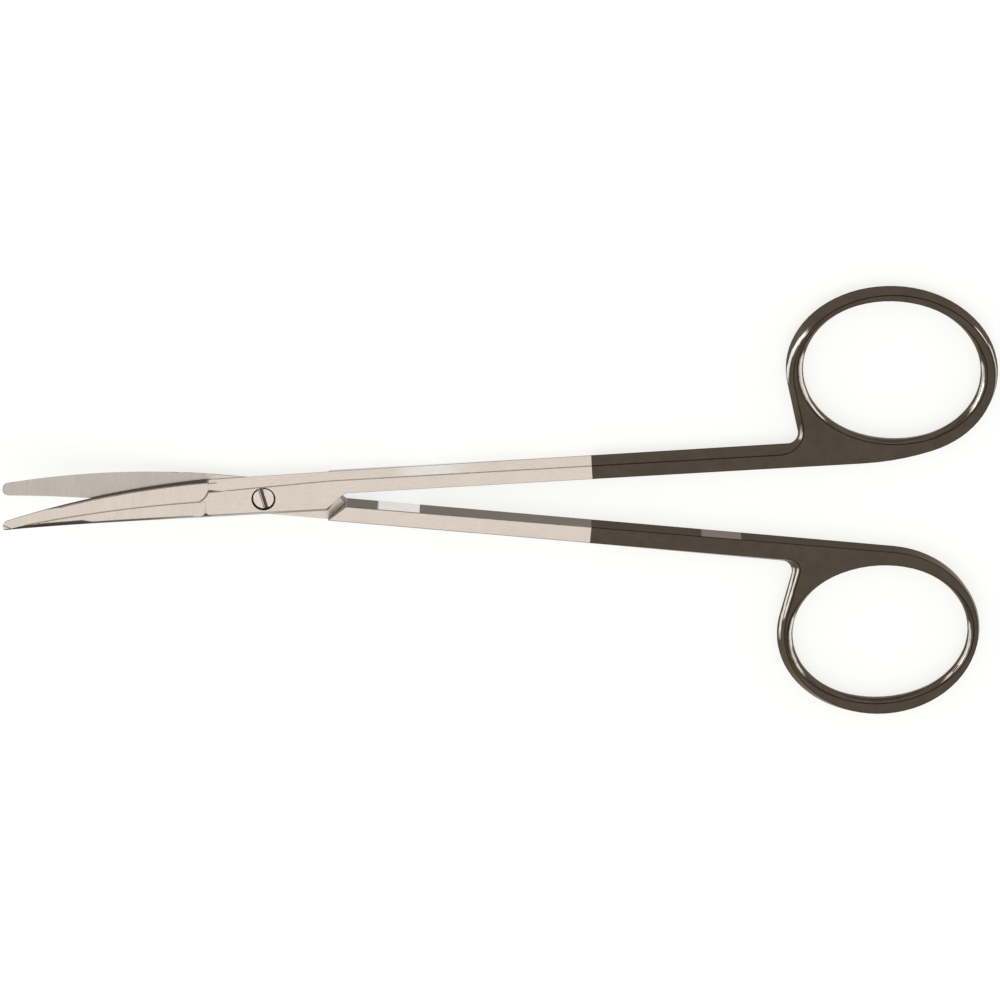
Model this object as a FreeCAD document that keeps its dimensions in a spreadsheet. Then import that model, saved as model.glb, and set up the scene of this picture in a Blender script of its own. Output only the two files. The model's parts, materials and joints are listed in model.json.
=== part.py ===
import FreeCAD, Part
import math
import os
import Sketcher

# Curved dissecting scissors, about 153 mm long, in millimetres.
# Two forged halves cross in a lap joint and turn on one slotted screw.
# Each half is drawn in a frame of its own: the pivot is the origin, the blade points to -X,
# the handle to +X, the cutting edge and the outer side of the handle face +Y, and the half's face +Z.
# The plane z = 0 of that frame is the plane in which the two halves meet.

SIZES = (
    ("open_angle", 8.6, "angle between the halves at rest, degrees"),
    ("joint_thickness", 4.06, "both halves together at the pivot"),
    ("ring_thickness", 2.9, "handle at the middle of the finger ring"),
    ("lap_clearance", 0.04, "between the flat faces of the lap joint"),
    ("blade_clearance", 0.06, "more room on each blade's ground inner face"),
    ("root_x", 8.4, "pivot to the root of the blade"),
    ("middle_x", 17.0, "pivot to a place along the blade that fixes its ground shape"),
    ("bend_start", 9.0, "pivot to the start of the blades' upward curve"),
    ("bend_radius", 65.6, "radius of that curve"),
    ("blade_length", 39.68, "pivot to the tip"),
    ("tip_thickness", 1.0, "blade at its tip"),
    ("front_root_edge", 3.0, "centre line to the cutting edge at the root, front half"),
    ("front_middle_edge", 2.08, "the same halfway along the blade"),
    ("front_tip_edge", 0.85, "the same where the tip's rounding starts"),
    ("rear_root_edge", 3.2, "centre line to the cutting edge at the root, rear half"),
    ("rear_middle_edge", 2.36, "the same halfway along the blade"),
    ("rear_tip_edge", 1.0, "the same where the tip's rounding starts"),
    ("front_root_back", 3.24, "centre line to the back at the root, in the meeting plane, front half"),
    ("front_middle_back", 2.56, "the same halfway along the blade"),
    ("front_tip_back", 0.75, "the same where the tip's rounding starts"),
    ("rear_root_back", 2.66, "the same at the root, rear half"),
    ("rear_middle_back", 2.08, "the same halfway along the blade"),
    ("rear_tip_back", 1.1, "the same where the tip's rounding starts"),
    ("front_back_lean", 28.0, "lean of the back from upright, front half, degrees"),
    ("rear_back_lean", 23.0, "the same, rear half"),
    ("tip_round", 0.85, "length of the tip's rounding"),
    ("root_ridge", 1.6, "centre line to the edge of the flat face at the root"),
    ("facet_ridge", 0.12, "centre line to the ridge of the ground facet at the root"),
    ("tip_ridge", -0.2, "the same at the tip"),
    ("edge_land", 0.06, "upright land that is left at the cutting edge"),
    ("bevel_width", 0.35, "cutting bevel at the root"),
    ("bevel_height", 0.5, "the same, upright"),
    ("tip_bevel_width", 0.16, "cutting bevel at the tip"),
    ("tip_bevel_height", 0.2, "the same, upright"),
    ("scoop_start", 25.4, "pivot to the start of the scooped grind at the back of the tip"),
    ("scoop_width", 1.35, "widest part of that grind"),
    ("shank_gap", 0.3, "between the two handles when the rings nearly touch"),
    ("face_width", 2.2, "shank on its face"),
    ("middle_width", 3.05, "shank at half its thickness"),
    ("back_width", 2.5, "shank on the side that the other half hides, at the joint"),
    ("back_flare", 0.2, "how much wider that side is at the ring"),
    ("middle_flare", 0.45, "how much wider the shank is at half its thickness at the ring"),
    ("shoulder_x", 10.1, "pivot to the shoulder of the lap, outer end"),
    ("crotch_x", 12.7, "pivot to the shoulder of the lap, inner end"),
    ("lap_clear", 0.5, "shoulder to the corner of the other half when closed"),
    ("ring_x", 97.0, "pivot to the middle of the finger ring, for the taper of the handle"),
    ("front_ring_x", 97.15, "the same, front half"),
    ("rear_ring_x", 96.9, "the same, rear half"),
    ("front_ring_shift", 0.0, "outer edge of the ring past the middle of its opening, front half"),
    ("rear_ring_shift", -0.3, "the same, rear half"),
    ("opening_length", 27.1, "finger opening, long way"),
    ("opening_width", 22.7, "finger opening, short way"),
    ("front_end_wall", 2.7, "ring beside the long ends of the opening, front half"),
    ("rear_end_wall", 2.2, "the same, rear half"),
    ("front_side_wall", 2.2, "ring beside the short ends, front half"),
    ("rear_side_wall", 2.45, "the same, rear half"),
    ("front_ring_lift", 0.82, "ring's lowest point over the shank's inner side, front half"),
    ("rear_ring_lift", 0.0, "the same, rear half"),
    ("ring_blend", 15.0, "slope at which the shank's inner side runs into the ring, degrees"),
    ("ring_tilt", 9.2, "long way of the ring against the shank, degrees"),
    ("opening_flare", 0.95, "how far the opening widens at its ends, at each face"),
    ("side_flare", 0.2, "the same at its sides"),
    ("face_bevel", 0.85, "outer bevel of the ring on its face, at the long ends"),
    ("side_bevel", 1.05, "the same at the short ends"),
    ("face_shift", 0.3, "how much more of that bevel is on the side of the shank"),
    ("back_bevel", 0.72, "outer bevel of the ring on the other side, at the long ends"),
    ("back_side_bevel", 0.5, "the same at the short ends"),
    ("back_shift", 0.43, "how much more of that bevel is on the side of the shank"),
    ("root_lean", 9.0, "how far the ring's root leans from upright, degrees"),
    ("root_fillet", 1.7, "inside corner between shank and ring"),
    ("face_root_fillet", 3.8, "the same on the face"),
    ("head_diameter", 3.6, "screw head"),
    ("head_height", 1.1, "screw head"),
    ("head_clearance", 0.06, "around the head"),
    ("head_bevel", 0.28, "edge of the head"),
    ("slot_width", 0.7, "screwdriver slot"),
    ("slot_depth", 0.55, "screwdriver slot"),
    ("slot_angle", -74.0, "slot against the long axis, degrees"),
    ("head_crown", 0.05, "how far the head stands over its edge"),
    ("screw_diameter", 2.4, "screw through the front half"),
    ("screw_clearance", 0.04, "around the screw in the front half"),
    ("thread_diameter", 2.0, "screw in the rear half"),
    ("shoulder_length", 1.6, "step between the ground facet and the flat of the joint, along the blade"),
    ("shoulder_bow", 0.38, "how far the middle of that step's curve lies from its corner, as a share"),
    ("runout_length", 2.6, "run-out of the ground facet into the bevel of the joint"),
    ("notch_x", 9.1, "pivot to the small notch behind the blade's back"),
    ("notch_width", 0.9, "half the width of that notch"),
    ("notch_depth", 0.42, "that notch, across the blade"),
    ("notch_height", 1.0, "that notch, from the face"),
    ("corner_round", 0.8, "corner of the lap"),
)

# A hair's breadth, and how far a cut runs on past the steel.
NEAR = 0.01
CLEAR = 1.0
V = FreeCAD.Vector
doc = FreeCAD.newDocument("scissors")
sheet = doc.addObject("Spreadsheet::Sheet", "sizes")
for row, (alias, value, note) in enumerate(SIZES, start=1):
    sheet.set(f"A{row}", str(value))
    sheet.set(f"B{row}", note)
    sheet.setAlias(f"A{row}", alias)
doc.recompute()
size = {alias: float(sheet.get(alias)) for alias, _, _ in SIZES}


def number(formula):
    """The value of a formula of the sheet's cells."""
    return float(sheet.evalExpression(formula))


def origin_plane(body, role):
    return next(item for item in body.Origin.OriginFeatures if item.Role == role)


def new_sketch(body, name, role, lift=None, turn=None):
    """A sketch on an origin plane, lifted along its normal and turned about its own Y, by formulas."""
    sketch = body.newObject("Sketcher::SketchObject", name)
    sketch.AttachmentSupport = [(origin_plane(body, role), "")]
    sketch.MapMode = "FlatFace"
    offset = FreeCAD.Placement()
    if lift:
        offset.Base.z = number(lift)
    if turn:
        offset.Rotation = FreeCAD.Rotation(V(0, 1, 0), number(turn))
    sketch.AttachmentOffset = offset
    if lift:
        sketch.setExpression("AttachmentOffset.Base.z", lift)
    if turn:
        sketch.setExpression("AttachmentOffset.Rotation.Angle", turn)
    return sketch


def pin(sketch, curve, end, x, y):
    """Hold one end of a curve at a place that two formulas give."""
    for kind, formula in (("DistanceX", x), ("DistanceY", y)):
        index = sketch.addConstraint(Sketcher.Constraint(kind, -1, 1, curve, end, number(formula)))
        sketch.setExpression(f"Constraints[{index}]", formula)


def join(sketch, first, first_end, second, second_end):
    sketch.addConstraint(Sketcher.Constraint("Coincident", first, first_end, second, second_end))


def polygon(sketch, corners):
    """A closed run of straight lines through corners given as pairs of formulas."""
    places = [V(number(x), number(y), 0) for x, y in corners]
    lines = []
    for index, place in enumerate(places):
        lines.append(sketch.addGeometry(Part.LineSegment(place, places[(index + 1) % len(places)])))
    for index, line in enumerate(lines):
        pin(sketch, line, 1, *corners[index])
        join(sketch, line, 2, lines[(index + 1) % len(lines)], 1)


# Handle: three outlines, one in the meeting plane, one on the face and one on the back,
# joined by ruled walls, which gives the shank and the ring their bevelled outer side.

HALF = "sizes.joint_thickness / 2"
TAPER = "atan((sizes.joint_thickness - sizes.ring_thickness) / 2 / sizes.ring_x)"
MEET = "sizes.lap_clearance / 2"
INNER = "sizes.shank_gap / 2"


class Level:
    """Where one of the three outlines lies, and how far its outer side is set in."""

    def __init__(self, width, inset, side_inset, joint_outer, joint_inner, flare, shift, fillet):
        self.width = width
        self.inset = inset
        self.side_inset = side_inset
        self.joint_outer = joint_outer
        self.joint_inner = joint_inner
        self.flare = flare
        self.shift = shift
        self.fillet = fillet


JOINT_EDGE = "sizes.{side}_root_edge"
JOINT_BACK = "sizes.{side}_root_back"
JOINT_DEPTH = "(sizes.joint_thickness - sizes.lap_clearance) / 2"
FACE_BACK = f"{JOINT_BACK} - {JOINT_DEPTH} * tan(sizes.{{side}}_back_lean)"
MIDDLE = Level("sizes.middle_width", "0", "0", JOINT_EDGE, JOINT_BACK, "sizes.middle_flare", "0",
               "sizes.root_fillet")
FACE = Level("sizes.face_width", "sizes.face_bevel", "sizes.side_bevel", "sizes.root_ridge", FACE_BACK, "0",
             "sizes.face_shift", "sizes.face_root_fillet")
BACK = Level("sizes.back_width", "sizes.back_bevel", "sizes.back_side_bevel", JOINT_EDGE, JOINT_BACK,
             "sizes.back_flare", "sizes.back_shift", "sizes.root_fillet")


def unit(angle):
    return V(math.cos(math.radians(angle)), math.sin(math.radians(angle)), 0)


class Oval:
    """Outer edge of the finger ring at one level; its lowest point is the same distance up at every level."""

    def __init__(self, side, level):
        self.long = size["opening_length"] / 2 + size[f"{side}_end_wall"] - number(level.inset)
        self.short = size["opening_width"] / 2 + size[f"{side}_side_wall"] - number(level.side_inset) / 2
        self.tilt = -size["ring_tilt"]
        rise = math.hypot(self.long * math.sin(math.radians(self.tilt)),
                          self.short * math.cos(math.radians(self.tilt)))
        low = number(INNER) + size[f"{side}_ring_lift"]
        along = size[f"{side}_ring_x"] + size[f"{side}_ring_shift"] + number(level.shift)
        self.centre = V(along, low + rise, 0)

    def facing(self, angle):
        """Parameter of the place whose tangent points in a direction."""
        along = angle - self.tilt
        across = -math.cos(math.radians(along)) / self.long
        return math.atan2(across, math.sin(math.radians(along)) / self.short)

    def curve(self):
        along = unit(self.tilt)
        across = unit(self.tilt + 90)
        return Part.Ellipse(self.centre + along * self.long, self.centre + across * self.short, self.centre)


def handle_outline(sketch, side, level, with_joint):
    oval = Oval(side, level)
    ellipse = oval.curve()
    lowest = oval.facing(size["ring_blend"])
    root = oval.facing(270 + size["root_lean"])
    while root < lowest:
        root += 2 * math.pi
    low_point = ellipse.value(lowest)
    root_point = ellipse.value(root)

    start = V(size["crotch_x"], number(INNER), 0)
    outer_start = V(size["shoulder_x"], number(f"{INNER} + {level.width}"), 0)
    outer_end = V(root_point.x, number(f"{INNER} + {level.width} + {level.flare}"), 0)
    down = unit(270 + size["root_lean"])
    along = (outer_end - outer_start).normalize()

    # The inside corner: an arc that touches the leaning root and the shank's outer side.
    left = V(down.y, -down.x, 0)
    up = V(-along.y, along.x, 0)
    gap = outer_start - root_point
    travel = (gap.x * along.y - gap.y * along.x) / (down.x * along.y - down.y * along.x)
    corner = root_point + down * travel
    radius = number(level.fillet)
    turn = left.x * up.y - left.y * up.x
    centre = corner + V((up.y - left.y) * radius / turn, (left.x - up.x) * radius / turn, 0)
    root_end = centre - left * radius
    shank_end = centre - up * radius
    halfway = centre - (left + up).normalize() * radius

    # The shank's inner side bends into the ring in one arc.
    slope = math.radians(size["ring_blend"])
    bend = (low_point.y - start.y) / (1 - math.cos(slope))
    bend_point = V(low_point.x - bend * math.sin(slope), start.y, 0)
    bend_middle = bend_point + V(bend * math.sin(slope / 2), bend * (1 - math.cos(slope / 2)), 0)

    inner = sketch.addGeometry(Part.LineSegment(start, bend_point))
    run_in = sketch.addGeometry(Part.ArcOfCircle(bend_point, bend_middle, low_point))
    ring = sketch.addGeometry(Part.ArcOfEllipse(ellipse, lowest, root))
    lean = sketch.addGeometry(Part.LineSegment(root_point, root_end))
    fillet = sketch.addGeometry(Part.ArcOfCircle(root_end, halfway, shank_end))
    outer = sketch.addGeometry(Part.LineSegment(shank_end, outer_start))
    for curve in (run_in, ring, fillet):
        sketch.addConstraint(Sketcher.Constraint("Block", curve))
    pin(sketch, inner, 1, "sizes.crotch_x", INNER)
    join(sketch, inner, 2, run_in, 1)
    join(sketch, run_in, 2, ring, 1)
    join(sketch, ring, 2, lean, 1)
    join(sketch, lean, 2, fillet, 2)
    join(sketch, fillet, 1, outer, 1)
    pin(sketch, outer, 2, "sizes.shoulder_x", f"{INNER} + {level.width}")

    corners = [("sizes.shoulder_x", f"{INNER} + {level.width}")]
    if with_joint:
        outer_edge = level.joint_outer.format(side=side)
        inner_edge = f"-({level.joint_inner.format(side=side)})"
        corners += [
            ("-sizes.root_x", outer_edge),
            ("-sizes.root_x", inner_edge),
            ("sizes.shoulder_x - sizes.lap_clear", inner_edge),
            ("sizes.crotch_x - sizes.lap_clear", "-sizes.shank_gap / 2"),
        ]
    corners.append(("sizes.crotch_x", INNER))
    places = [V(number(x), number(y), 0) for x, y in corners]
    previous = outer
    for index in range(len(places) - 1):
        line = sketch.addGeometry(Part.LineSegment(places[index], places[index + 1]))
        join(sketch, previous, 2, line, 1)
        if index + 2 < len(places):
            pin(sketch, line, 2, *corners[index + 1])
        previous = line
    join(sketch, previous, 2, inner, 1)


def ruled_loft(body, name, kind, sections, ruled=True):
    loft = body.newObject(f"PartDesign::{kind}Loft", name)
    loft.Profile = sections[0]
    loft.Sections = sections[1:]
    loft.Ruled = ruled
    doc.recompute()
    return loft


def add_handle(body, side):
    middle = new_sketch(body, "upper_middle", "XY_Plane", MEET)
    handle_outline(middle, side, MIDDLE, True)
    face = new_sketch(body, "upper_face", "XY_Plane", HALF, TAPER)
    handle_outline(face, side, FACE, True)
    ruled_loft(body, "upper_handle", "Additive", [middle, face])
    lower = new_sketch(body, "lower_middle", "XY_Plane", MEET)
    handle_outline(lower, side, MIDDLE, False)
    back = new_sketch(body, "lower_back", "XY_Plane", f"-{HALF}", f"-{TAPER}")
    handle_outline(back, side, BACK, False)
    ruled_loft(body, "lower_handle", "Additive", [lower, back])


def opening_oval(sketch, side, flare_length, flare_width):
    middle = Oval(side, MIDDLE)
    centre = middle.centre - V(size[f"{side}_ring_shift"], 0, 0)
    long = size["opening_length"] / 2 + number(flare_length)
    short = size["opening_width"] / 2 + number(flare_width)
    along = unit(middle.tilt)
    across = unit(middle.tilt + 90)
    ellipse = Part.Ellipse(centre + along * long, centre + across * short, centre)
    ring = sketch.addGeometry(ellipse)
    sketch.addConstraint(Sketcher.Constraint("Block", ring))


def cut_opening(body, side):
    """The finger opening: narrowest in the middle and flared to both faces."""
    face = new_sketch(body, "opening_face", "XY_Plane", HALF, TAPER)
    opening_oval(face, side, "sizes.opening_flare", "sizes.side_flare")
    waist = new_sketch(body, "opening_waist", "XY_Plane")
    opening_oval(waist, side, "0", "0")
    back = new_sketch(body, "opening_back", "XY_Plane", f"-{HALF}", f"-{TAPER}")
    opening_oval(back, side, "sizes.opening_flare", "sizes.side_flare")
    ruled_loft(body, "finger_opening", "Subtractive", [face, waist, back], ruled=False)


# Blade: an upright pad of its plan, cut below by a surface turned about the pivot,
# so that the blades clear each other at every angle, and above by an arc.

def rise(radius):
    """How far the meeting surface of the blades has curved up at a distance from the pivot."""
    past = max(0.0, radius - size["bend_start"])
    return size["bend_radius"] - math.sqrt(size["bend_radius"] ** 2 - past ** 2)


def face_height(x):
    """Height of the flat face over the meeting plane."""
    return size["joint_thickness"] / 2 - x * math.tan(math.radians(number(TAPER)))


class Blade:
    """Heights and edges of one blade; bend is 1 if it curves towards its own face, and -1 if away."""

    def __init__(self, side, bend):
        self.bend = bend
        self.start = V(-size["bend_start"], face_height(-size["bend_start"]), 0)
        tip_top = bend * rise(size["blade_length"]) + size["tip_thickness"]
        run = size["blade_length"] - size["bend_start"]
        drop = tip_top - self.start.y
        self.top_radius = (run ** 2 + drop ** 2) / (2 * drop)
        self.root_edge = size[f"{side}_root_edge"]
        self.lean = math.tan(math.radians(size[f"{side}_back_lean"]))
        self.edge = self.arc(side, "edge", 1)
        self.back = self.arc(side, "back", -1)

    def arc(self, side, name, sign):
        """The edge or the back in plan, through its places at the root, halfway and at the tip."""
        start = size["root_x"]
        end = size["blade_length"] - size["tip_round"]
        root, middle, tip = (sign * size[f"{side}_{place}_{name}"] for place in ("root", "middle", "tip"))
        return Part.ArcOfCircle(V(-start, root, 0), V(-(start + end) / 2, middle, 0), V(-end, tip, 0))

    def meeting(self, x):
        return self.bend * rise(-x) + size["lap_clearance"] / 2 + size["blade_clearance"]

    def top(self, x):
        if x > self.start.x:
            return face_height(x)
        past = self.start.x - x
        side = math.copysign(1, self.top_radius)
        radius = abs(self.top_radius)
        return self.start.y + side * (radius - math.sqrt(radius ** 2 - past ** 2))

    def across(self, arc, x):
        """How far an edge of the plan is from the centre line at a place along the blade."""
        centre = arc.Center
        reach = math.sqrt(arc.Radius ** 2 - (x - centre.x) ** 2)
        side = math.copysign(1, arc.StartPoint.y - centre.y)
        return centre.y + side * reach


def blend(root, tip, x):
    share = (-x - size["root_x"]) / (size["blade_length"] - size["root_x"])
    return root + (tip - root) * share


def blade_plan(body, blade):
    sketch = new_sketch(body, "blade_plan", "XY_Plane")
    tip = V(-size["blade_length"], (blade.edge.EndPoint.y + blade.back.EndPoint.y) / 2, 0)
    curves = (
        blade.edge,
        Part.ArcOfCircle(blade.edge.EndPoint, tip, blade.back.EndPoint),
        blade.back,
        Part.LineSegment(blade.back.StartPoint, blade.edge.StartPoint),
    )
    for curve in curves:
        index = sketch.addGeometry(curve)
        sketch.addConstraint(Sketcher.Constraint("Block", index))
    pad = body.newObject("PartDesign::Pad", "blade_blank")
    pad.Profile = sketch
    pad.Length = 4 * size["joint_thickness"]
    pad.setExpression("Length", "4 * sizes.joint_thickness")
    pad.Midplane = True
    doc.recompute()


def add_arc_profile(sketch, points, arcs):
    """A closed outline through points; arcs gives the middle point of each curved side."""
    count = len(points)
    for index in range(count):
        first = points[index]
        last = points[(index + 1) % count]
        if index in arcs:
            curve = sketch.addGeometry(Part.ArcOfCircle(first, arcs[index], last))
        else:
            curve = sketch.addGeometry(Part.LineSegment(first, last))
        sketch.addConstraint(Sketcher.Constraint("Block", curve))


def cut_blade_top(body, blade):
    """The blade's thickness: an arc over its face from the joint to the tip."""
    far = size["blade_length"] + 2 * CLEAR
    near = -size["root_x"] + CLEAR
    high = 4 * size["joint_thickness"]
    middle = -(size["bend_start"] + far) / 2
    sketch = new_sketch(body, "blade_top", "XZ_Plane")
    points = [
        V(near, blade.top(near), 0),
        blade.start,
        V(-far, blade.top(-far), 0),
        V(-far, high, 0),
        V(near, high, 0),
    ]
    add_arc_profile(sketch, points, {1: V(middle, blade.top(middle), 0)})
    pocket = body.newObject("PartDesign::Pocket", "blade_thickness")
    pocket.Profile = sketch
    pocket.Type = "ThroughAll"
    pocket.Midplane = True
    doc.recompute()


def cut_blade_inside(body, blade):
    """The ground inner face, turned about the pivot."""
    far = size["blade_length"] + 2 * CLEAR
    near = -size["root_x"] + 2 * CLEAR
    low = -4 * size["joint_thickness"]
    middle = -(size["bend_start"] + far) / 2
    sketch = new_sketch(body, "blade_inside", "XZ_Plane")
    points = [
        V(near, blade.meeting(0), 0),
        V(-size["bend_start"], blade.meeting(0), 0),
        V(-far, blade.meeting(-far), 0),
        V(-far, low, 0),
        V(near, low, 0),
    ]
    add_arc_profile(sketch, points, {1: V(middle, blade.meeting(middle), 0)})
    groove = body.newObject("PartDesign::Groove", "ground_inside")
    groove.Profile = sketch
    groove.ReferenceAxis = (sketch, ["V_Axis"])
    groove.Angle = 120
    groove.Midplane = True
    doc.recompute()


def section(body, name, x, corners):
    """One cross-section of a ground facet, on a plane across the blade."""
    sketch = body.newObject("Sketcher::SketchObject", name)
    sketch.AttachmentSupport = [(origin_plane(body, "YZ_Plane"), "")]
    sketch.MapMode = "FlatFace"
    sketch.AttachmentOffset = FreeCAD.Placement(V(0, 0, x), FreeCAD.Rotation())
    count = len(corners)
    for index in range(count):
        last = corners[(index + 1) % count]
        curve = sketch.addGeometry(Part.LineSegment(V(*corners[index], 0), V(*last, 0)))
        sketch.addConstraint(Sketcher.Constraint("Block", curve))
    return sketch


FACET_SECTIONS = 6


def grind_facet(body, blade):
    """The wide facet and the narrow cutting bevel, from the root to the tip."""
    end = -(size["blade_length"] + CLEAR)
    sections = []
    for index in range(FACET_SECTIONS):
        x = -size["root_x"] + (end + size["root_x"]) * index / (FACET_SECTIONS - 1)
        ridge = blend(size["facet_ridge"], size["tip_ridge"], x)
        edge = blade.across(blade.edge, x)
        width = blend(size["bevel_width"], size["tip_bevel_width"], x)
        height = blend(size["bevel_height"], size["tip_bevel_height"], x)
        foot = blade.meeting(x) + size["edge_land"]
        high = blade.top(x) + CLEAR
        slope = height / width
        corners = [
            (ridge, blade.top(x)),
            (edge - width, foot + height),
            (edge + CLEAR, foot - CLEAR * slope),
            (edge + CLEAR, high),
            (ridge, high),
        ]
        sections.append(section(body, f"facet_{index}", x, corners))
    ruled_loft(body, "ground_facet", "Subtractive", sections, ruled=False)


def grind_back(body, blade):
    """The leaning back of the blade."""
    stations = (size["root_x"], size["middle_x"], size["scoop_start"], size["blade_length"] + CLEAR)
    sections = []
    for index, reach in enumerate(stations):
        back = blade.across(blade.back, -reach)
        foot = blade.meeting(-reach)
        high = blade.top(-reach) + CLEAR
        corners = [
            (back - CLEAR, foot - CLEAR),
            (back - CLEAR * blade.lean, foot - CLEAR),
            (back + (high - foot) * blade.lean, high),
            (back - CLEAR, high),
        ]
        sections.append(section(body, f"back_{index}", -reach, corners))
    ruled_loft(body, "leaning_back", "Subtractive", sections, ruled=False)


# The scooped grind: how far along it each section lies, and how wide it is there, as shares.
SCOOP_SECTIONS = ((0.0, -0.1), (0.1, 0.66), (0.27, 1.0), (0.5, 0.96), (0.75, 0.7), (1.0, 0.4))


def grind_scoop(body, blade):
    """The scooped grind at the back of the tip, from its run-out to past the tip."""
    end = size["blade_length"] + CLEAR
    sections = []
    for index, (share, part) in enumerate(SCOOP_SECTIONS):
        x = -(size["scoop_start"] + (end - size["scoop_start"]) * share)
        back = blade.across(blade.back, x)
        foot = blade.meeting(x) + 2 * size["edge_land"]
        depth = blade.top(x) - foot
        inset = size["scoop_width"] * part
        high = blade.top(x) + CLEAR
        if part < 0:
            corners = [(back - CLEAR, foot), (back + inset, foot), (back + inset, high), (back - CLEAR, high)]
        else:
            corners = [
                (back - CLEAR, foot - CLEAR * depth / inset),
                (back, foot),
                (back + inset * (1 + CLEAR / depth), high),
                (back - CLEAR, high),
            ]
        sections.append(section(body, f"scoop_{index}", x, corners))
    ruled_loft(body, "tip_scoop", "Subtractive", sections, ruled=False)


def grind_runout(body, blade):
    """The facet's plane turns into the bevel of the joint along a short run-out."""
    root = -size["root_x"]
    ridge_drift = (number(f"{INNER} + {FACE.width}") - size["root_ridge"]) / (size["shoulder_x"] - root)
    far = blade.root_edge + CLEAR
    sections = []
    for name, x in (("facet_side", root), ("bevel_side", root + size["runout_length"])):
        top = face_height(x)
        ridge = size["root_ridge"] + ridge_drift * (x - root)
        if name == "facet_side":
            foot = blade.meeting(x) + size["edge_land"] + size["bevel_height"]
            slope = (top - foot) / (blade.root_edge - size["bevel_width"] - size["facet_ridge"])
            high = top - slope * (ridge - size["facet_ridge"])
        else:
            slope = (top - number(MEET)) / (blade.root_edge - ridge)
            high = top + NEAR
        corners = [
            (ridge - NEAR, high + slope * NEAR),
            (far, high - slope * (far - ridge)),
            (far, top + far),
            (ridge - NEAR, top + far),
        ]
        sections.append(section(body, name, x, corners))
    ruled_loft(body, "facet_runout", "Subtractive", sections)


def face_cut(body, name, sketch, depth=None):
    """A pocket from a sketch on the face: to a depth that a formula gives, or right through."""
    pocket = body.newObject("PartDesign::Pocket", name)
    pocket.Profile = sketch
    if depth:
        pocket.Length = number(depth)
        pocket.setExpression("Length", depth)
    else:
        pocket.Type = "ThroughAll"
        pocket.Midplane = True
    before = body.Shape.Volume
    doc.recompute()
    if not pocket.Shape.Volume < before:
        raise RuntimeError(f"{name} cuts nothing")


def circle(sketch, diameter):
    ring = sketch.addGeometry(Part.Circle(V(0, 0, 0), V(0, 0, 1), number(diameter) / 2))
    join(sketch, ring, 3, -1, 1)
    index = sketch.addConstraint(Sketcher.Constraint("Diameter", ring, number(diameter)))
    sketch.setExpression(f"Constraints[{index}]", diameter)


def add_shoulder(body):
    """The curved step where the ground facet ends at the flat of the joint."""
    sketch = new_sketch(body, "facet_shoulder", "XY_Plane", HALF, TAPER)
    root = -size["root_x"]
    inside = root + size["shoulder_length"]
    far = root - size["shoulder_length"]
    ridge = size["facet_ridge"]
    high = size["root_ridge"]
    bow = size["shoulder_bow"]
    points = [V(inside, high, 0), V(root, high, 0), V(far, ridge, 0), V(inside, ridge, 0)]
    middle = V(root - bow * size["shoulder_length"], ridge + bow * (high - ridge), 0)
    add_arc_profile(sketch, points, {1: middle})
    pad = body.newObject("PartDesign::Pad", "shoulder_step")
    pad.Profile = sketch
    pad.Reversed = True
    depth = f"{HALF} - {MEET} - 2 * sizes.blade_clearance"
    pad.Length = number(depth)
    pad.setExpression("Length", depth)
    doc.recompute()


def cut_notch(body, side):
    sketch = new_sketch(body, "notch_plan", "XY_Plane", f"{HALF} + sizes.notch_depth")
    back = f"-({FACE_BACK.format(side=side)})"
    polygon(sketch, (
        ("-sizes.notch_x - sizes.notch_width", f"{back} - sizes.notch_depth"),
        ("-sizes.notch_x + sizes.notch_width", f"{back} - sizes.notch_depth"),
        ("-sizes.notch_x", f"{back} + sizes.notch_depth"),
    ))
    face_cut(body, "back_notch", sketch, "sizes.notch_height + sizes.notch_depth")


def round_lap_corner(body):
    corner = size["shoulder_x"] - size["lap_clear"]
    names = []
    for index, edge in enumerate(body.Shape.Edges, start=1):
        ends = [vertex.Point for vertex in edge.Vertexes]
        if len(ends) == 2 and all(abs(p.x - corner) < NEAR and p.y < 0 for p in ends):
            names.append(f"Edge{index}")
    base = body.Tip
    fillet = body.newObject("PartDesign::Fillet", "lap_corner")
    fillet.Base = (base, names)
    fillet.Radius = size["corner_round"]
    fillet.setExpression("Radius", "sizes.corner_round")
    doc.recompute()


def build_half(side, name, bend):
    body = doc.addObject("PartDesign::Body", name)
    body.Label = name
    doc.recompute()
    blade = Blade(side, bend)
    blade_plan(body, blade)
    cut_blade_top(body, blade)
    cut_blade_inside(body, blade)
    grind_facet(body, blade)
    grind_back(body, blade)
    grind_scoop(body, blade)
    add_shoulder(body)
    add_handle(body, side)
    grind_runout(body, blade)
    cut_opening(body, side)
    cut_notch(body, side)
    round_lap_corner(body)
    return body


def bore_front(body):
    """Seat for the screw's head and a running bore for its plain part."""
    seat = new_sketch(body, "head_seat_plan", "XY_Plane", f"{HALF} + sizes.head_height")
    circle(seat, "sizes.head_diameter + 2 * sizes.head_clearance")
    face_cut(body, "head_seat", seat, "2 * sizes.head_height + sizes.lap_clearance")
    bore = new_sketch(body, "bore_plan", "XY_Plane")
    circle(bore, "sizes.screw_diameter + 2 * sizes.screw_clearance")
    face_cut(body, "running_bore", bore)


def bore_rear(body):
    thread = new_sketch(body, "thread_plan", "XY_Plane")
    circle(thread, "sizes.thread_diameter")
    face_cut(body, "thread_bore", thread)


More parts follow.
